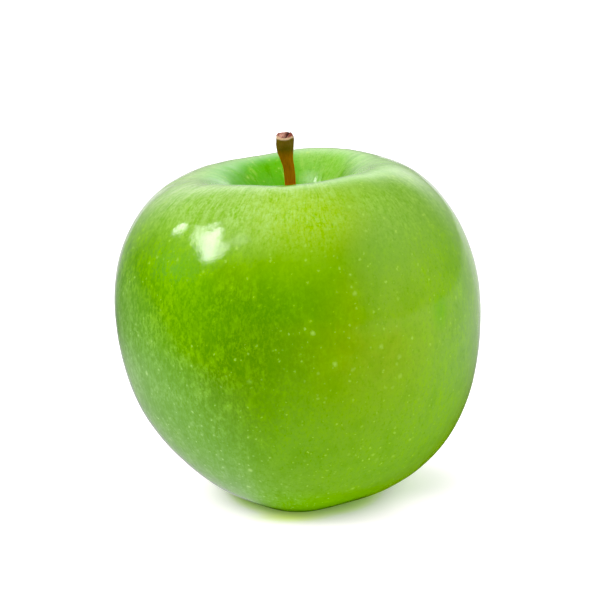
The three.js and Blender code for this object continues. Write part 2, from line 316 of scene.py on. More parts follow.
    # stalk cavity: clear bright green with pale radial streaks, paler on the right wall, partly as painted light
    inside = n.math("MULTIPLY", n.ramp(rho, 24.5, 17.5), n.ramp(z, 40.0, 52.0))
    well = n.mix(n.ramp(x, -3.0, 7.0), (0.114, 0.430, 0.040), (0.240, 0.560, 0.090))
    colour = n.mix(n.math("MULTIPLY", inside, 0.92), colour, well)
    radial_at = n.vec("ADD", n.vec("SCALE", around, scale=9.0), n.vec("SCALE", lower, scale=0.22))
    radial = n.noise(radial_at, 1.0, 4.0, 0.7)
    radial = n.math("MULTIPLY", n.ramp(radial, 0.52, 0.68), inside)
    colour = n.mix(n.math("MULTIPLY", radial, n.ramp(y, -6.0, 14.0, 0.30, 0.60)), colour, (0.330, 0.600, 0.120))
    colour = n.mix(n.math("MULTIPLY", n.ramp(radial_dark(n, around, lower), 0.52, 0.68), n.math("MULTIPLY", inside, 0.45)), colour, (0.060, 0.270, 0.006))
    # paler on the back of the rim, right of the stalk, partly painted sheen; and a painted highlight on the floor of
    # the cavity in front of it, where the key window is mirrored
    rim_back = n.blob(mm, (2.5, 16.5, 72.5), (7.5, 6.0, 4.5), hi=0.65)
    colour = n.mix(rim_back, colour, (0.330, 0.600, 0.180))
    painted_glint_well = n.blob(mm, (2.6, 11.0, 68.0), (3.2, 3.4, 3.0), hi=0.65)
    colour = n.mix(painted_glint_well, colour, (0.480, 0.760, 0.420))
    # paler again on the right of the cheek
    warm = n.blob(mm, (27.0, -30.0, 53.0), (15.0, 22.0, 17.0), hi=0.45)
    colour = n.mix(warm, colour, (0.270, 0.470, 0.060))
    # calyx basin: a little paler, with some dry brown close to the sepals
    basin = n.math("MULTIPLY", n.ramp(rho, 14.0, 6.0), n.ramp(z, 14.0, 8.0))
    colour = n.mix(n.math("MULTIPLY", basin, 0.55), colour, (0.230, 0.450, 0.060))
    russet = n.math("MULTIPLY", n.ramp(rho, 6.5, 3.0), n.ramp(z, 14.0, 8.0))
    russet = n.math("MULTIPLY", russet, n.ramp(grain, 0.3, 0.6, 0.5, 1.0))
    colour = n.mix(n.math("MULTIPLY", russet, 0.75), colour, (0.200, 0.150, 0.050))
    # pale streaks and mottling, with a painted milky sheen on the left flank and over the shoulder
    left = n.ramp(n.math("MULTIPLY_ADD", z, -0.9, n.math("SUBTRACT", 32.4, x)), 13.0, 38.0)
    colour = n.mix(n.math("MULTIPLY", left, 0.50), colour, (0.190, 0.385, 0.085))
    # painted sheen: a milky patch high on the left front
    painted_sheen_left = n.blob(mm, (-26.0, -30.0, 57.5), (15.0, 13.0, 8.0), hi=0.55)
    colour = n.mix(painted_sheen_left, colour, (0.170, 0.420, 0.080))
    pale = n.mix(left, (0.250, 0.500, 0.040), (0.270, 0.490, 0.150))
    amount = n.math("MAXIMUM", n.ramp(x, 8.0, -30.0, 0.30, 0.95), left)
    amount = n.math("MAXIMUM", amount, n.ramp(z, 50.0, 68.0, 0.0, 0.85))
    amount = n.math("MAXIMUM", amount, n.ramp(x, 10.0, 30.0, 0.0, 0.75))
    amount = n.math("MULTIPLY", amount, n.ramp(cloud, 0.36, 0.64, 0.45, 1.10))
    # over the shoulder the streaks show green between the pale
    hollow = n.ramp(x, -5.0, 7.0, 0.10, 0.70)
    hollow = n.math("MULTIPLY_ADD", n.math("SUBTRACT", hollow, 1.0), inside, 1.0)
    amount = n.math("MULTIPLY", n.math("MULTIPLY", amount, clear), hollow)
    crown = n.math("MULTIPLY", n.ramp(z, 60.0, 70.0), hollow)
    crown = n.math("MULTIPLY", crown, n.math("MAXIMUM", n.ramp(x, 2.0, 13.0, 1.0, 0.38), inside))
    pale = n.mix(crown, pale, (0.430, 0.660, 0.240))
    colour = n.mix(n.math("MULTIPLY", n.ramp(streak_fine, 0.52, 0.34), n.math("MULTIPLY", crown, 0.42)), colour, (0.165, 0.430, 0.012))
    colour = n.mix(n.math("MULTIPLY", n.ramp(streak, 0.52, 0.34), n.math("MULTIPLY", crown, 0.30)), colour, (0.165, 0.430, 0.012))
    for field, lo, hi, weight in ((streak, 0.47, 0.68, 0.48), (streak_fine, 0.47, 0.66, 0.58), (speck, 0.49, 0.63, 0.58)):
        part = n.math("MULTIPLY", n.ramp(field, lo, hi), amount)
        colour = n.mix(n.math("MULTIPLY", part, weight), colour, pale)
    colour = n.mix(n.ramp(speck, 0.47, 0.32, 0.0, 0.38), colour, deep)
    colour = n.mix(n.ramp(grain, 0.46, 0.72, 0.0, 0.16), colour, pale)
    colour = n.mix(n.ramp(grain, 0.48, 0.28, 0.0, 0.25), colour, deep)
    colour = n.mix(n.math("MULTIPLY", n.ramp(cloud, 0.52, 0.34), n.ramp(z, 66.0, 50.0, 0.0, 0.16)), colour, (0.084, 0.262, 0.003))
    # lenticels: pale dots of several sizes with a blurred, uneven edge, each in a faint halo
    jitter = n.add("ShaderNodeTexNoise", {"Vector": mm, "Scale": 1.9, "Detail": 2.0}).outputs["Color"]
    warp = n.vec("ADD", mm, n.vec("SCALE", jitter, scale=0.75))
    dot_colour = n.mix(left, (0.400, 0.640, 0.140), (0.480, 0.720, 0.300))
    for cell, radius, strength, seed in ((2.35, 0.46, 0.78, 0.0), (4.4, 0.74, 0.80, 31.0), (1.4, 0.30, 0.60, 67.0)):
        at = n.vec("ADD", warp, (seed, seed * 0.7, seed * 1.3))
        v = n.add("ShaderNodeTexVoronoi", {"Vector": at, "Scale": 1.0 / cell}, feature="F1", distance="EUCLIDEAN")
        d = n.math("MULTIPLY", v.outputs["Distance"], cell)
        pick = n.add("ShaderNodeSeparateColor", {0: v.outputs["Color"]}).outputs
        size = n.math("MULTIPLY", n.ramp(pick[0], 0.0, 1.0, 0.40, 1.0, smooth=False), radius)
        reach = n.math("DIVIDE", d, size)
        dot = n.math("MULTIPLY", n.ramp(reach, 1.15, 0.0), n.ramp(pick[1], 0.0, 1.0, 0.35, 1.0, smooth=False))
        if cell < 2.0:
            dot = n.math("MULTIPLY", dot, n.ramp(z, 44.0, 14.0, 1.0, 1.9))
        colour = n.mix(n.math("MULTIPLY", n.ramp(reach, 3.0, 0.8), n.math("MULTIPLY", pick[1], 0.16)), colour, pale)
        colour = n.mix(n.math("MULTIPLY", dot, strength), colour, dot_colour)
    # one small darker green mark on the right cheek
    mark = n.blob(mm, (30.0, -26.2, 47.4), (3.2, 5.0, 5.6))
    colour = n.mix(n.math("MULTIPLY", mark, 0.44), colour, (0.100, 0.385, 0.008))
    colour = n.mix(1.0, colour, (1.09, 1.05, 1.0), blend="MULTIPLY")
    n.put(bsdf.inputs["Base Color"], colour)

    rough = n.ramp(n.noise(mm, 0.5, 3.0), 0.3, 0.7, 0.44, 0.56)
    n.put(bsdf.inputs["Roughness"], rough)
    bsdf.inputs["IOR"].default_value = 1.45
    bsdf.inputs["Specular IOR Level"].default_value = 0.05
    bsdf.inputs["Coat Weight"].default_value = 1.0
    bsdf.inputs["Coat Roughness"].default_value = 0.062
    bsdf.inputs["Coat IOR"].default_value = 1.5
    # relief too fine for the mesh
    height = n.math("ADD", n.math("MULTIPLY", n.noise(mm, 0.75, 3.0, 0.6), 0.45),
                    n.math("MULTIPLY", n.noise(mm, 2.0, 2.0, 0.6), 0.40))
    height = n.math("ADD", height, n.math("MULTIPLY", streak_fine, 0.35))
    bump = n.add("ShaderNodeBump", {"Height": height, "Distance": 0.00004, "Strength": 1.0})
    n.put(bsdf.inputs["Normal"], bump.outputs[0])
    n.put(bsdf.inputs["Coat Normal"], bump.outputs[0])
    return m


def stalk_material():
    m, n = new_material("stalk_bark")
    out = n.add("ShaderNodeOutputMaterial")
    bsdf = n.add("ShaderNodeBsdfPrincipled")
    n.tree.links.new(bsdf.outputs[0], out.inputs[0])
    coord = n.add("ShaderNodeTexCoord").outputs["Object"]
    mm = n.vec("SCALE", coord, scale=1000.0)
    x, y, z = n.add("ShaderNodeSeparateXYZ", {0: mm}).outputs
    fibre = n.noise(n.vec("MULTIPLY", mm, (5.0, 5.0, 0.55)), 1.0, 3.0, 0.6)
    speck = n.noise(mm, 3.0, 3.0, 0.65)
    shaft = (0.400, 0.150, 0.006)
    red = (0.500, 0.115, 0.012)
    olive = (0.140, 0.088, 0.006)
    colour = n.mix(n.ramp(z, 71.5, 68.5, 0.0, 0.8), shaft, red)
    colour = n.mix(n.ramp(z, 75.0, 77.2), colour, olive)
    colour = n.mix(n.ramp(fibre, 0.45, 0.75, 0.0, 0.50), colour, (0.130, 0.060, 0.006))
    colour = n.mix(n.ramp(speck, 0.55, 0.8, 0.0, 0.45), colour, (0.330, 0.260, 0.080))
    # green where the stalk enters the flesh
    colour = n.mix(n.ramp(z, 62.0, 56.0), colour, (0.200, 0.240, 0.030))
    # the broken end: pale pinkish pith with a dark split, partly painted shade in the crack, and a tan rim
    end = n.add("ShaderNodeAttribute", attribute_name="broken").outputs["Fac"]
    pith = n.mix(n.ramp(n.noise(mm, 1.8, 3.0, 0.65), 0.35, 0.65), (0.560, 0.300, 0.230), (0.240, 0.085, 0.060))
    pith = n.mix(n.ramp(speck, 0.5, 0.75, 0.0, 0.7), pith, (0.760, 0.580, 0.470))
    pith = n.mix(n.ramp(x, -2.40, -1.95, 0.0, 0.9), pith, (0.190, 0.045, 0.030))
    # dark tissue and painted shade along the split
    across = n.math("ABSOLUTE", n.math("MULTIPLY_ADD", y, -0.25, n.math("ADD", x, 2.50)))
    pith = n.mix(n.ramp(across, 0.42, 0.08, 0.0, 0.92), pith, (0.060, 0.018, 0.012))
    rim = n.vec("LENGTH", n.vec("MULTIPLY", n.vec("ADD", mm, (2.83, -0.10, 0.0)), (1.0, 1.0, 0.0)))
    pith = n.mix(n.math("MULTIPLY", n.ramp(rim, 1.42, 1.68), n.ramp(y, 0.2, -0.8, 0.0, 0.85)), pith, (0.660, 0.480, 0.300))
    colour = n.mix(end, colour, pith)
    n.put(bsdf.inputs["Base Color"], colour)
    n.put(bsdf.inputs["Roughness"], n.ramp(speck, 0.3, 0.7, 0.62, 0.85))
    bsdf.inputs["Specular IOR Level"].default_value = 0.3
    height = n.math("ADD", n.math("MULTIPLY", fibre, 0.7), n.math("MULTIPLY", speck, 0.5))
    bump = n.add("ShaderNodeBump", {"Height": height, "Distance": 0.00015, "Strength": 0.8})
    n.put(bsdf.inputs["Normal"], bump.outputs[0])
    return m


def dry_material(name, light, brown, dark, scale):
    m, n = new_material(name)
    out = n.add("ShaderNodeOutputMaterial")
    bsdf = n.add("ShaderNodeBsdfPrincipled")
    n.tree.links.new(bsdf.outputs[0], out.inputs[0])
    mm = n.vec("SCALE", n.add("ShaderNodeTexCoord").outputs["Object"], scale=1000.0)
    z = n.add("ShaderNodeSeparateXYZ", {0: mm}).outputs[2]
    fine = n.noise(mm, scale * 2.2, 4.0, 0.65)
    veins = n.noise(n.vec("MULTIPLY", mm, (3.0, 3.0, 0.6)), scale, 3.0, 0.6)
    colour = n.mix(n.ramp(veins, 0.35, 0.68), brown, light)
    colour = n.mix(n.ramp(fine, 0.48, 0.74, 0.0, 0.75), colour, dark)
    colour = n.mix(n.ramp(z, 3.8, 2.8, 0.0, 0.6), colour, dark)
    n.put(bsdf.inputs["Base Color"], colour)
    n.put(bsdf.inputs["Roughness"], n.ramp(fine, 0.3, 0.7, 0.75, 0.95))
    bsdf.inputs["Specular IOR Level"].default_value = 0.2
    bsdf.inputs["Sheen Weight"].default_value = 0.3
    height = n.math("ADD", n.math("MULTIPLY", veins, 0.6), n.math("MULTIPLY", fine, 0.5))
    bump = n.add("ShaderNodeBump", {"Height": height, "Distance": 0.0002, "Strength": 0.8})
    n.put(bsdf.inputs["Normal"], bump.outputs[0])
    return m


# ----------------------------------------------------------------------------
# the fruit
# ----------------------------------------------------------------------------
def build_fruit():
    nt = 300
    theta = np.arange(nt) * 2 * np.pi / nt
    last = len(RINGS) - 1
    # stations: even steps along the surface, closer together in the two hollows
    probe = np.linspace(0, last, 2001)
    p, _ = skin_grid(np.array([0.0]), probe)
    step = np.linalg.norm(np.diff(p[0], axis=0), axis=1)
    middle = (probe[1:] + probe[:-1]) / 2
    density = 1.0 + 1.3 * smoothstep(13.5, 17.0, middle) + 0.8 * smoothstep(4.5, 2.0, middle)
    along = np.concatenate([[0], np.cumsum(step * density)])
    u = np.interp(np.linspace(0, along[-1], 312), along, probe)
    u[0], u[-1] = 0, last
    p, r = skin_grid(theta, u)
    th = theta[:, None] + 0 * r
    n = grid_normals(p)
    direction = np.stack([np.cos(th), np.sin(th), 0 * th], 2)
    # gentle unevenness of the flank, a little longer from top to bottom than around
    q = p * np.array([1, 1, 0.6])
    relief = 0.16 * noise3(q / 15.0, 3) + 0.055 * noise3(q / 6.0, 5) + 0.022 * noise3(p / 2.8, 9)
    # faint ribs down the flank
    q = direction * 9.0 + np.stack([0 * th, 0 * th, p[..., 2] / 60.0], 2)
    flank = smoothstep(2, 8, u)[None] * smoothstep(16.5, 13, u)[None]
    relief = relief + 0.05 * noise3(q, 11) * flank
    # puckers in the stalk cavity: folds that run to the stalk
    deep = smoothstep(14.2, 16.6, u)[None] * smoothstep(0.3, 3.0, r)
    folds = noise3(direction * 3.4 + np.stack([0 * th, 0 * th, p[..., 2] / 26.0], 2), 21)
    fine = noise3(direction * 8.0 + np.stack([0 * th, 0 * th, p[..., 2] / 14.0], 2), 23)
    relief = relief + deep * (0.75 * folds + 0.30 * fine) * smoothstep(17, 6, r)
    # one sharper crease behind and to the right of the stalk
    crease = np.exp(-((np.angle(np.exp(1j * (th - math.radians(62)))) * np.maximum(r, 0.1) / 0.55) ** 2))
    relief = relief - 0.45 * crease * smoothstep(14.6, 17.0, u)[None] * smoothstep(0.5, 2.5, r)
    # puckers around the calyx
    basin = smoothstep(4.1, 2.2, u)[None] * smoothstep(0.4, 3.0, r)
    puckers = noise3(direction * 4.2, 31) + 0.5 * noise3(direction * 9.0 + p / 12.0, 33)
    relief = relief + basin * 0.32 * puckers
    p = p + n * relief[..., None]
    # a low collar of flesh around the foot of the stalk
    collar = np.exp(-(((r - 2.1) / 0.7) ** 2)) * (u > 17)[None]
    p[..., 2] += 0.35 * collar
    p[..., 2] = np.maximum(p[..., 2], 0.0)
    for end in (0, -1):
        p[:, end] = p[:, end].mean(0)
    return lathe_object("apple_fruit", p, skin_material())


# ----------------------------------------------------------------------------
# the stalk
# ----------------------------------------------------------------------------
STALK = np.array([
    [50.6, -0.10, 0.00, 1.40], [52.5, -0.18, 0.00, 1.50], [55.5, -0.36, 0.00, 1.55], [58.5, -0.62, -0.02, 1.36],
    [62.0, -0.90, -0.05, 1.24], [65.6, -1.20, -0.06, 1.17], [69.2, -1.58, -0.04, 1.15], [71.4, -1.78, 0.00, 1.18],
    [73.4, -2.07, 0.04, 1.23], [74.9, -2.43, 0.07, 1.38], [76.4, -2.72, 0.09, 1.66], [78.2, -2.82, 0.10, 1.84],
    [79.8, -2.83, 0.10, 1.87],
])


def smooth_table(table, z):
    """Values of a table at the heights z, by a spline through its rows."""
    t = table[:, 0]
    out = []
    for c in range(1, table.shape[1]):
        v = table[:, c]
        slope = np.gradient(v, t)
        i = np.clip(np.searchsorted(t, z) - 1, 0, len(t) - 2)
        h = t[i + 1] - t[i]
        s = np.clip((z - t[i]) / h, 0, 1)
        out.append((2 * s ** 3 - 3 * s ** 2 + 1) * v[i] + (s ** 3 - 2 * s ** 2 + s) * h * slope[i]
                   + (-2 * s ** 3 + 3 * s ** 2) * v[i + 1] + (s ** 3 - s ** 2) * h * slope[i + 1])
    return out


def build_stalk():
    nt = 72
    theta = np.arange(nt) * 2 * np.pi / nt
    side = np.linspace(STALK[0, 0], STALK[-1, 0], 150)
    cx, cy, cr = smooth_table(STALK, side)
    rows, broken = [], []
    rows.append(np.tile([cx[0], cy[0], side[0]], (nt, 1)))
    broken.append(np.zeros(nt))
    out = np.stack([np.cos(theta), np.sin(theta)], 1)
    ridges = 0.035 * np.cos(5 * theta + 0.4) + 0.03 * np.cos(8 * theta + 1.9) + 0.02 * np.cos(13 * theta)
    for k, z in enumerate(side):
        at = np.stack([out[:, 0] * 1.4, out[:, 1] * 1.4, np.full(nt, z / 3.0)], 1)
        rough = 0.06 * noise3(at, 41) + 0.03 * noise3(at * 3.0, 43)
        knob = smoothstep(74.0, 77.5, z)
        r = cr[k] * (1 + ridges * (1 - 0.4 * knob) + rough * (1 + 0.5 * knob))
        r = r * (1 + 0.04 * np.cos(2 * theta - 0.6))
        tilt = 0.30 * smoothstep(76.5, 79.8, z)
        pz = z + tilt * r * out[:, 1]
        rows.append(np.stack([cx[k] + r * out[:, 0], cy[k] + r * out[:, 1], pz], 1))
        broken.append(np.full(nt, smoothstep(79.55, 79.75, z)))
    rim = rows[-1].copy()
    centre = np.array([cx[-1], cy[-1]])
    span = rim[:, :2] - centre
    for f in (0.985, 0.95, 0.90, 0.83, 0.75, 0.66, 0.57, 0.48, 0.39, 0.30, 0.21, 0.13, 0.06):
        q = np.empty((nt, 3))
        q[:, :2] = centre + span * f
        z = STALK[-1, 0] - 0.15 + 0.25 * (q[:, 1] - centre[1])
        # a bark lip, a rough face and a split across it, a little right of the middle
        lip = 0.30 * smoothstep(1.0, 0.93, f) - 0.22 * smoothstep(0.9, 0.6, f)
        at = np.stack([q[:, 0] * 1.3, q[:, 1] * 1.3, 0 * theta], 1)
        lump = 0.13 * noise3(at, 51) + 0.07 * noise3(at * 2.6, 53)
        dx = q[:, 0] - centre[0]
        dy = q[:, 1] - centre[1]
        split = 1.05 * np.exp(-(((dx - 0.33 - 0.25 * dy) / 0.34) ** 2)) * smoothstep(-1.0, 0.9, dy)
        rise = 0.10 * np.exp(-(((dx + 0.75) / 0.8) ** 2 + ((dy - 0.7) / 0.8) ** 2)) \
            + 0.42 * np.exp(-(((dx - 1.05) / 0.55) ** 2 + ((dy - 0.7) / 0.9) ** 2))
        edge = smoothstep(1.0, 0.9, f)
        q[:, 2] = np.where(f > 0.99, rim[:, 2], rim[:, 2] * (1 - edge) + edge * (z + lip + lump + rise - split))
        rows.append(q)
        broken.append(np.ones(nt))
    tip = rows[-1].mean(0)
    rows.append(np.tile(tip, (nt, 1)))
    broken.append(np.ones(nt))
    p = np.stack(rows, 1)
    o = lathe_object("apple_stalk", p, stalk_material())
    b = np.stack(broken, 1)
    values = np.concatenate([b[:, 1:-1].ravel(), [0.0, 1.0]]).astype(np.float32)
    o.data.attributes.new("broken", "FLOAT", "POINT").data.foreach_set("value", values)
    return o


# ----------------------------------------------------------------------------
# the calyx
# ----------------------------------------------------------------------------
SEPAL = np.array([
    [3.00, 7.25, 1.32, 0.34], [2.95, 6.05, 1.50, 0.30], [3.00, 5.15, 1.54, 0.24], [3.30, 4.25, 1.42, 0.20],
    [3.90, 3.50, 1.16, 0.17], [4.75, 3.00, 0.84, 0.14], [5.65, 2.85, 0.30, 0.10],
])
SEPAL_TURN = [2, -2, 1, 3, -2]
SEPAL_LENGTH = [1.0, 0.9, 1.04, 0.94, 0.98]
SEPAL_FLARE = [0.9, 0.6, 1.05, 0.75, 1.0]


def build_sepal(which, material):
    """A dried sepal: a thin, cupped and wrinkled leaf with a closed edge."""
    nu, nv = 60, 28                     # along, around the section
    u = np.linspace(0, 1, nu)
    t = np.linspace(0, 1, len(SEPAL))
    r0, z0, half, thick = (np.interp(u, t, SEPAL[:, c]) for c in range(4))
    # soften the polyline
    for _ in range(6):
        for a in (r0, z0, half, thick):
            a[1:-1] = (a[:-2] + 2 * a[1:-1] + a[2:]) / 4
    half = half * (1 + 0.06 * np.sin(u * 17 + which))
    half[-1] = 0.05
    r = SEPAL[0, 0] + (r0 - SEPAL[0, 0]) * SEPAL_FLARE[which]
    z = SEPAL[0, 1] + (z0 - SEPAL[0, 1]) * SEPAL_LENGTH[which]
    dr, dz = np.gradient(r), np.gradient(z)
    norm = np.hypot(dr, dz)
    nr, nz = -dz / norm, dr / norm
    turn = math.radians(SEPAL_TURN[which] + 36 + 72 * which) + LOBE_AXIS
    out = np.array([math.cos(turn), math.sin(turn), 0])
    side = np.array([-math.sin(turn), math.cos(turn), 0])
    a = np.arange(nv) * 2 * np.pi / nv
    across = np.cos(a)                  # -1..1 over the width
    face = np.sin(a)
    grid = np.empty((nv, nu, 3))
    for k in range(nu):
        bend = -0.22 * across ** 2 * half[k] + 0.10 * half[k] * np.sin(across * 5 + which) * u[k]
        keel = 0.09 * np.exp(-(across / 0.16) ** 2) * (face > 0) * (1 - u[k])
        off = thick[k] * face * (1 - 0.35 * across ** 2) + bend + keel
        at = np.stack([across * 2.2, face * 0.2 + which, np.full(nv, u[k] * 5.0)], 1)
        off = off + 0.10 * noise3(at, 61) + 0.04 * noise3(at * 2.7, 63)
        radial = r[k] + nr[k] * off
        wander = 0.10 * math.sin(u[k] * 4 + which * 1.7)
        grid[:, k] = out * radial[:, None] + side * (across * half[k] + wander)[:, None]
        grid[:, k, 2] = z[k] + nz[k] * off
    grid[..., 0] += SHIFT[0]
    grid[..., 1] += SHIFT[1]
    for end in (0, -1):
        grid[:, end] = grid[:, end].mean(0)
    return lathe_object(f"apple_sepal_{which + 1}", orient(grid), material)


def orient(grid):
    """Turns the grid's winding so that its normals point out."""
    centre = grid.reshape(-1, 3).mean(0)
    n = grid_normals(grid)
    mid = slice(grid.shape[1] // 4, 3 * grid.shape[1] // 4)
    local = grid[:, mid].mean(0, keepdims=True)
    if ((grid[:, mid] - local) * n[:, mid]).sum() < 0:
        grid = grid[::-1]
    return grid


def tube(points, radii, nv, seed, rough=0.1):
    """A closed tube along points."""
    points, radii = np.asarray(points, float), np.asarray(radii, float)
    tangent = np.gradient(points, axis=0)
    tangent /= np.linalg.norm(tangent, axis=1, keepdims=True)
    ref = np.array([0.3, 1.0, 0.1])
    a = np.cross(tangent, ref)
    a /= np.linalg.norm(a, axis=1, keepdims=True)
    b = np.cross(tangent, a)
    phi = np.arange(nv) * 2 * np.pi / nv
    grid = np.empty((nv, len(points) + 2, 3))
    for k in range(len(points)):
        ring = np.cos(phi)[:, None] * a[k] + np.sin(phi)[:, None] * b[k]
        wob = 1 + rough * noise3(ring * 1.3 + points[k] * 1.7, seed)
        grid[:, k + 1] = points[k] + ring * (radii[k] * wob)[:, None]
    grid[:, 0] = points[0]
    grid[:, -1] = points[-1]
    return orient(grid)


def build_stamens(material):
    """The withered stamens: a fluted foot with a dozen curled filaments, joined as one piece."""
    parts = []
    rng = np.random.default_rng(17)
    # foot
    z = np.array([7.75, 7.45, 6.9, 6.3, 5.8, 5.5])
    rad = np.array([0.7, 1.0, 1.12, 1.05, 0.85, 0.5])
    th = np.arange(40) * 2 * np.pi / 40
    grid = np.empty((40, len(z) + 2, 3))
    for k in range(len(z)):
        r = rad[k] * (1 + 0.10 * np.cos(10 * th) + 0.05 * np.cos(3 * th + k))
        grid[:, k + 1] = np.stack([r * np.cos(th), r * np.sin(th), np.full(40, z[k])], 1)
    grid[:, 0] = (0, 0, z[0] + 0.05)
    grid[:, -1] = (0, 0, z[-1] - 0.1)
    parts.append(orient(grid))
    for i in range(14):
        a = i * 2.399 + 0.3 * rng.standard_normal()
        r0 = 0.35 + 0.5 * rng.random()
        reach = 0.35 + 0.75 * rng.random()
        length = 1.6 + 1.1 * rng.random()
        twist = rng.normal(0, 0.8)
        t = np.linspace(0, 1, 14)
        rr = r0 + reach * t ** 1.6 - 0.25 * np.sin(t * 3.0)
        aa = a + twist * t
        pts = np.stack([rr * np.cos(aa), rr * np.sin(aa), 6.4 - length * t], 1)
        rad = 0.085 * (1 - 0.35 * t)
        rad[-3:] = [0.15, 0.18, 0.10]   # the dried anther at the tip
        parts.append(tube(pts, rad, 10, 70 + i))
    verts, faces, base = [], [], 0
    for g in parts:
        g = g + np.array([SHIFT[0], SHIFT[1], 0])
        nt, ns = g.shape[:2]
        m = ns - 2
        inner = g[:, 1:-1].reshape(-1, 3)
        verts.append(np.concatenate([inner, g[:, 0].mean(0)[None], g[:, -1].mean(0)[None]]))
        i = np.arange(nt)
        j = np.arange(m - 1)
        q0 = (i[:, None] * m + j[None]).ravel()
        q1 = (((i + 1) % nt)[:, None] * m + j[None]).ravel()
        faces += (np.stack([q0, q1, q1 + 1, q0 + 1], 1) + base).tolist()
        low, high = len(inner), len(inner) + 1
        faces += (np.stack([i * m, np.full(nt, low), ((i + 1) % nt) * m], 1) + base).tolist()
        faces += (np.stack([i * m + m - 1, ((i + 1) % nt) * m + m - 1, np.full(nt, high)], 1) + base).tolist()
        base += len(inner) + 2
    mesh = bpy.data.meshes.new("apple_stamens")
    mesh.from_pydata((np.concatenate(verts) * MM).tolist(), [], faces)
    mesh.validate()
    mesh.update()
    mesh.polygons.foreach_set("use_smooth", [True] * len(mesh.polygons))
    mesh.materials.append(material)
    o = bpy.data.objects.new("apple_stamens", mesh)
    bpy.context.scene.collection.objects.link(o)
    return o


fruit = build_fruit()
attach(fruit, "root")
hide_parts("fruit")

stalk = build_stalk()
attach(stalk, "root")
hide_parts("stalk")

sepal_material = dry_material("dried_sepal", (0.330, 0.250, 0.130), (0.170, 0.105, 0.045), (0.045, 0.025, 0.012), 1.2)
for which in range(5):
    sepal = build_sepal(which, sepal_material)
    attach(sepal, "root")
    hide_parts(f"sepal_{which + 1}")

stamens = build_stamens(dry_material("dried_stamen", (0.150, 0.085, 0.035), (0.070, 0.038, 0.016), (0.020, 0.011, 0.006), 2.0))
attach(stamens, "root")
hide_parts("stamens")


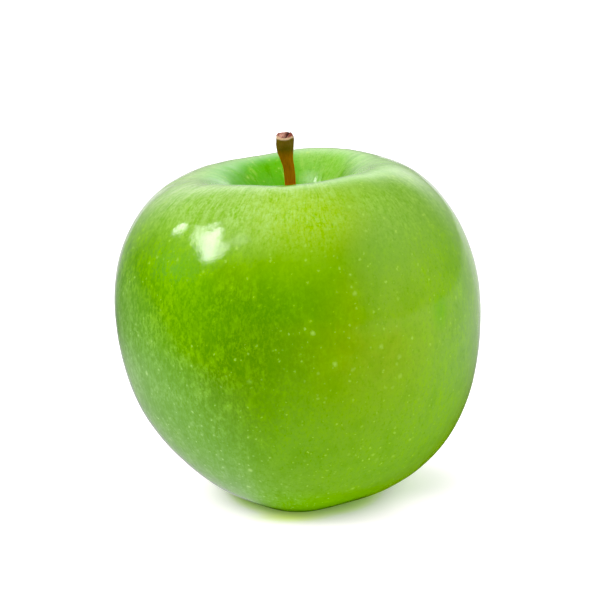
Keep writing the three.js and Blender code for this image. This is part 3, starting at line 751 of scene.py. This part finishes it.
# ----------------------------------------------------------------------------
# floor, light and camera
# ----------------------------------------------------------------------------
def build_floor():
    half = 8.0
    mesh = bpy.data.meshes.new("floor")
    mesh.from_pydata([(-half, -half, -2e-5), (half, -half, -2e-5), (half, half, -2e-5), (-half, half, -2e-5)], [], [(0, 1, 2, 3)])
    m, n = new_material("pale_floor")
    out = n.add("ShaderNodeOutputMaterial")
    d = n.add("ShaderNodeBsdfDiffuse")
    clear = n.add("ShaderNodeBsdfTransparent")
    geometry = n.add("ShaderNodeNewGeometry")
    place = geometry.outputs["Position"]
    at = n.vec("MULTIPLY", place, (1.0, 1.0, 0.0))
    far = n.vec("LENGTH", at)
    # a glow in the floor, stronger for the camera than for other rays, that falls off right where the fruit stands: a
    # painted contact shadow
    spot = n.vec("LENGTH", n.vec("SUBTRACT", place, (0.001, -0.004, 0.0)))
    east = n.add("ShaderNodeSeparateXYZ", {0: place}).outputs[0]
    spot = n.math("ADD", spot, n.ramp(east, -0.002, -0.020, 0.0, 0.0018))
    seen = n.add("ShaderNodeLightPath").outputs["Is Camera Ray"]
    # painted shadow: for the camera the glow is weaker to the right of the fruit, where its shadow falls
    shade = n.vec("LENGTH", n.vec("SUBTRACT", place, (0.026, 0.004, 0.0)))
    strength = n.math("MULTIPLY_ADD", n.math("MULTIPLY", seen, n.ramp(shade, 0.004, 0.021, 0.05, 1.0)), n.ramp(spot, 0.0125, 0.030, 0.0, 0.37),
                      n.ramp(spot, 0.008, 0.025, 0.08, 0.24))
    # a brighter ring throws light up at the base of the fruit
    ring = n.math("MULTIPLY", n.ramp(far, 0.0195, 0.0245), n.ramp(far, 0.037, 0.027))
    # and a glow under the fruit, for all but camera rays, lights the hollow with the calyx
    below = n.ramp(far, 0.0145, 0.0110, 0.28, 0.95)
    below = n.math("MULTIPLY", below, n.ramp(far, 0.0215, 0.0185))
    ring = n.math("MULTIPLY_ADD", ring, 0.54, below)
    strength = n.math("MULTIPLY_ADD", ring, n.math("SUBTRACT", 1.0, seen), strength)
    # painted bounce light and painted reflection: the floor is tinted green close to the fruit, most in front, and
    # neutral around it
    near = n.ramp(spot, 0.0195, 0.0150)
    patch = n.blob(place, (-0.0015, -0.0210, 0.0), (0.0110, 0.0058, 1.0))
    ground = n.mix(near, (0.86, 0.86, 0.86), (0.74, 0.82, 0.46))
    n.put(d.inputs["Color"], n.mix(patch, ground, (0.74, 0.82, 0.34)))
    tint = n.mix(n.math("MULTIPLY", n.ramp(spot, 0.075, 0.036), seen), (1.0, 1.0, 1.0), (1.0, 0.81, 1.02))
    tint = n.mix(near, tint, (0.90, 1.0, 0.55))
    tint = n.mix(patch, tint, (0.92, 1.0, 0.42))
    glow = n.add("ShaderNodeEmission", {"Color": tint, "Strength": strength})
    lit = n.add("ShaderNodeAddShader")
    n.tree.links.new(d.outputs[0], lit.inputs[0])
    n.tree.links.new(glow.outputs[0], lit.inputs[1])
    # what the skin mirrors: bright behind the fruit, and close by on the left, dim elsewhere, dark at the contact
    behind = n.vec("DOT_PRODUCT", n.vec("NORMALIZE", at), (0.0, 1.0, 0.0))
    side = n.vec("DOT_PRODUCT", n.vec("NORMALIZE", at), (1.0, 0.0, 0.0))
    left = n.ramp(far, 0.080, 0.150, 0.55, 0.14)
    right = n.ramp(far, 0.045, 0.190, 0.21, 0.55)
    west = n.ramp(side, -0.12, -0.65)
    mirrored = n.math("MULTIPLY_ADD", n.math("SUBTRACT", left, right), west, right)
    mirrored = n.math("MULTIPLY_ADD", n.ramp(behind, 0.72, 0.96), 0.40, mirrored)
    mirrored = n.math("MULTIPLY", mirrored, n.ramp(spot, 0.0150, 0.0172, 0.06, 1.0))
    # painted bounce light: what the skin mirrors is tinted green close to the fruit, except on the left
    mirrored_green_bounce = n.math("MULTIPLY", n.ramp(far, 0.120, 0.045), n.math("SUBTRACT", 1.0, west))
    mirrored_green_bounce = n.mix(mirrored_green_bounce, (1.0, 1.0, 1.0), (0.60, 1.0, 0.06))
    mirrored = n.add("ShaderNodeEmission", {"Color": mirrored_green_bounce, "Strength": mirrored})
    either = n.add("ShaderNodeMixShader", {0: n.add("ShaderNodeLightPath").outputs["Is Glossy Ray"]})
    n.tree.links.new(lit.outputs[0], either.inputs[1])
    n.tree.links.new(mirrored.outputs[0], either.inputs[2])
    pick = n.add("ShaderNodeMixShader", {0: geometry.outputs["Backfacing"]})
    n.tree.links.new(either.outputs[0], pick.inputs[1])
    n.tree.links.new(clear.outputs[0], pick.inputs[2])
    n.tree.links.new(pick.outputs[0], out.inputs[0])
    mesh.materials.append(m)
    o = bpy.data.objects.new("floor", mesh)
    bpy.context.scene.collection.objects.link(o)
    return o


floor = build_floor()


def softbox(name, direction, distance, size_x, size_y, radiance, target, edge):
    """A rectangular light that faces the target, with the given radiance and its first side along edge."""
    light = bpy.data.lights.new(name, "AREA")
    light.shape = "RECTANGLE"
    light.size, light.size_y = size_x, size_y
    light.energy = radiance * math.pi * size_x * size_y
    o = bpy.data.objects.new(name, light)
    bpy.context.scene.collection.objects.link(o)
    d = Vector(direction).normalized()
    along = (Vector(edge) - d * d.dot(Vector(edge))).normalized()
    o.location = Vector(target) + d * distance
    o.rotation_mode = "QUATERNION"
    o.rotation_quaternion = Matrix((along, d.cross(along), d)).transposed().to_quaternion()
    o.visible_camera = False
    return o


# The key light is a window of uneven shape. Its plane is 1 m from the place on the skin where it is mirrored;
# (across, up) are metres in that plane.
GLINT = Vector((-0.0183, -0.0299, 0.0631))
FACING = Vector((-0.758, -0.182, 0.626)).normalized()
ACROSS = Vector((0, 0, 1)).cross(FACING).normalized()
UPWARD = FACING.cross(ACROSS)


def window(name, across, up, size_x, size_y, radiance):
    where = GLINT + FACING + ACROSS * across + UPWARD * up
    return softbox(name, where - GLINT, (where - GLINT).length, size_x, size_y, radiance, GLINT, ACROSS)


# its outline, as sides that the light stays behind: (across, up) of the outward normal and its distance
SIDES = [(-0.904, -0.427, 0.172), (-0.526, -0.850, 0.124), (0.671, -0.741, 0.243), (0.325, 0.946, 0.207), (-0.729, 0.684, 0.275)]
key = window("key_window", -0.02, 0.04, 0.60, 0.52, 14.6)
key.data.use_nodes = True
k = Nodes.__new__(Nodes)
k.tree = key.data.node_tree
k.tree.nodes.clear()
spread = k.vec("SUBTRACT", k.add("ShaderNodeNewGeometry").outputs["Position"], tuple(GLINT))
spread = k.vec("SCALE", spread, scale=k.math("DIVIDE", 1.0, k.vec("DOT_PRODUCT", spread, tuple(FACING))))
ax, up = k.vec("DOT_PRODUCT", spread, tuple(ACROSS)), k.vec("DOT_PRODUCT", spread, tuple(UPWARD))
shape = 1.0
for nx, ny, limit in SIDES:
    d = k.math("MULTIPLY_ADD", ax, nx, k.math("MULTIPLY_ADD", up, ny, -limit))
    shape = k.math("MULTIPLY", k.ramp(d, 0.012, -0.012), shape)
# full strength to the left of one edge, a dimmer wing beyond it, and a dark bar that cuts in from the top
d = d_left = k.math("MULTIPLY_ADD", ax, 0.820, k.math("MULTIPLY", up, 0.572))
wing = k.math("MULTIPLY", k.ramp(d, 0.300, 0.270), k.ramp(k.math("MULTIPLY_ADD", ax, -0.547, k.math("MULTIPLY", up, 0.837)), 0.01, -0.03))
shape = k.math("MULTIPLY", shape, k.math("MAXIMUM", k.ramp(d, 0.145, 0.120), k.math("MULTIPLY", wing, 0.5)))
bar = k.ramp(k.math("ABSOLUTE", k.math("MULTIPLY_ADD", ax, 0.894, k.math("MULTIPLY_ADD", up, -0.447, 0.163))), 0.052, 0.026)
bar = k.math("MULTIPLY", bar, k.ramp(up, 0.03, 0.09, 0.0, 0.95))
shape = k.math("MULTIPLY", shape, k.math("SUBTRACT", 1.0, bar))
# dimmer towards the left
shape = k.math("MULTIPLY", shape, k.ramp(d_left, -0.13, 0.0, 0.70, 1.0))
beam = k.add("ShaderNodeEmission", {"Color": (1, 1, 1, 1), "Strength": shape})
k.tree.links.new(beam.outputs[0], k.add("ShaderNodeOutputLight").inputs[0])
window("key_pane", -0.460, -0.045, 0.080, 0.155, 14.0)
window("key_faint", 0.300, 0.250, 0.15, 0.17, 2.5)

# the studio around it: wide soft panels, as (azimuth from the front towards +X, elevation, strength, sharpness)
PANELS = [
    (300, 44, 0.48, 12), (18, 38, 0.38, 14), (54, 34, 1.32, 11), (88, 34, 1.70, 14),
    (126, 34, 0.45, 14), (158, 30, 0.25, 12), (164, 20, 2.50, 45), (191, 34, 2.15, 16), (192, 8, 0.60, 16),
    (150, 8, 0.50, 22), (206, 8, 0.30, 16), (80, 62, 1.25, 11), (300, 66, 1.22, 11),
]
world = bpy.data.worlds.new("studio")
bpy.context.scene.world = world
world.use_nodes = True
w = Nodes.__new__(Nodes)
w.tree = world.node_tree
w.tree.nodes.clear()
toward = w.add("ShaderNodeTexCoord").outputs["Generated"]
total = 0.05
for azimuth, elevation, strength, sharpness in PANELS:
    a, e = math.radians(azimuth), math.radians(elevation)
    axis = (math.cos(e) * math.sin(a), -math.cos(e) * math.cos(a), math.sin(e))
    lobe = w.math("EXPONENT", w.math("MULTIPLY", w.math("SUBTRACT", w.vec("DOT_PRODUCT", toward, axis), 1.0), float(sharpness)))
    total = w.math("MULTIPLY_ADD", lobe, strength, total)
# dimmer where the gloss of the skin mirrors it, most of all on the upper right
damp = w.ramp(w.vec("DOT_PRODUCT", toward, (0.749, -0.050, 0.660)), 0.55, 0.85, 0.42, 0.72)
damp = w.math("MULTIPLY", damp, w.add("ShaderNodeLightPath").outputs["Is Glossy Ray"])
total = w.math("MULTIPLY", total, w.math("SUBTRACT", 1.0, damp))
lit = w.add("ShaderNodeBackground", {"Color": (1, 1, 1, 1), "Strength": total})
seen = w.add("ShaderNodeBackground", {"Color": (1, 1, 1, 1), "Strength": 1.0})
either = w.add("ShaderNodeMixShader", {0: w.add("ShaderNodeLightPath").outputs["Is Camera Ray"]})
w.tree.links.new(lit.outputs[0], either.inputs[1])
w.tree.links.new(seen.outputs[0], either.inputs[2])
w.tree.links.new(either.outputs[0], w.add("ShaderNodeOutputWorld").inputs[0])

ELEVATION = math.radians(14.5)
camera_data = bpy.data.cameras.new("camera")
camera_data.lens = 135.72
camera_data.sensor_width = 36.0
camera_data.clip_start = 0.01
camera = bpy.data.objects.new("camera", camera_data)
bpy.context.scene.collection.objects.link(camera)
camera.location = (0.533 * MM, 0.07 * MM - 0.5 * math.cos(ELEVATION), 43.015 * MM + 0.5 * math.sin(ELEVATION))
camera.rotation_euler = (math.pi / 2 - ELEVATION, 0, 0)
bpy.context.scene.camera = camera

view = bpy.context.scene.view_settings
view.view_transform = "Standard"
view.look = "None"
view.exposure = 0.0
view.gamma = 1.0

# the picture's own vivid finish
bpy.context.scene.use_nodes = True
grade = bpy.context.scene.node_tree
grade.nodes.clear()
layers = grade.nodes.new("CompositorNodeRLayers")
vivid = grade.nodes.new("CompositorNodeHueSat")
vivid.inputs["Saturation"].default_value = 1.12
picture = grade.nodes.new("CompositorNodeComposite")
grade.links.new(layers.outputs["Image"], vivid.inputs["Image"])
grade.links.new(vivid.outputs[0], picture.inputs[0])
